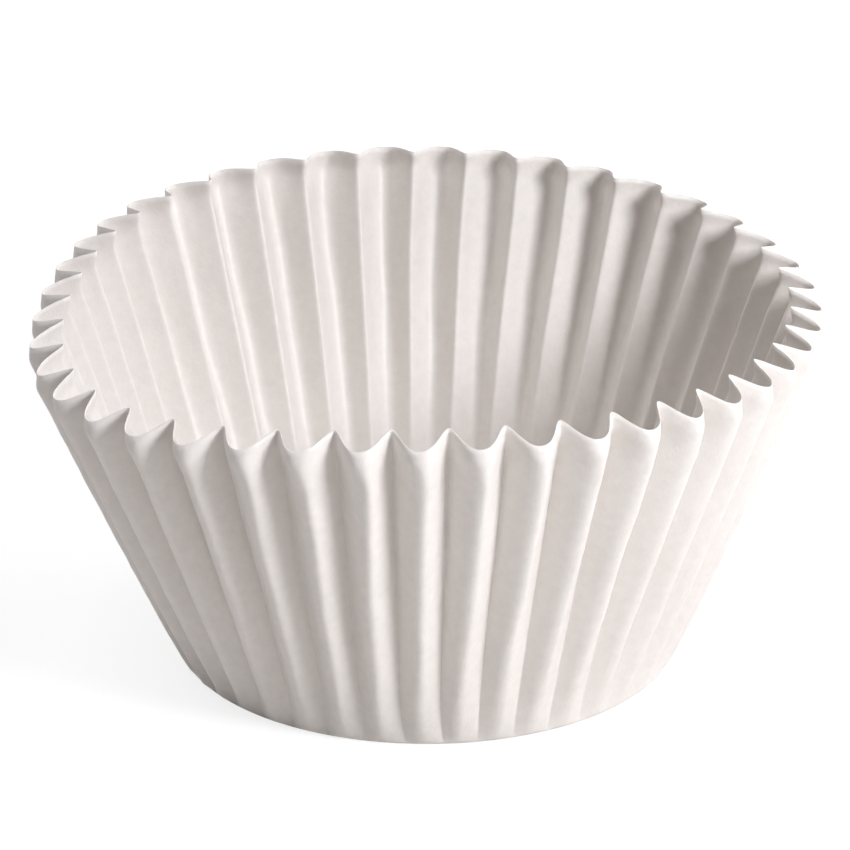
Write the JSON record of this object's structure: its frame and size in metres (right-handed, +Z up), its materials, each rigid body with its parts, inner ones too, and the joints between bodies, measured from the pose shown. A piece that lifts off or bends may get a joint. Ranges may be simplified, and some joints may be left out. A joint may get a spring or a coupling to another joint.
{
  "type": "cupcake liner",
  "caption": "Round baking cup of thin white paper, open at the top, with a flat base and a finely fluted wall that flares out to the rim.",
  "frame": {"origin": "centre of the underside of the flat base", "axes": "+Z up through the open mouth, -Y to the side that the picture shows, +X to its right"},
  "size_m": [0.0802, 0.0802, 0.0376],
  "materials": {
    "paper": "thin white greaseproof paper, matt"
  },
  "bodies": {
    "root": {"liner": "paper"}
  },
  "joints": []
}
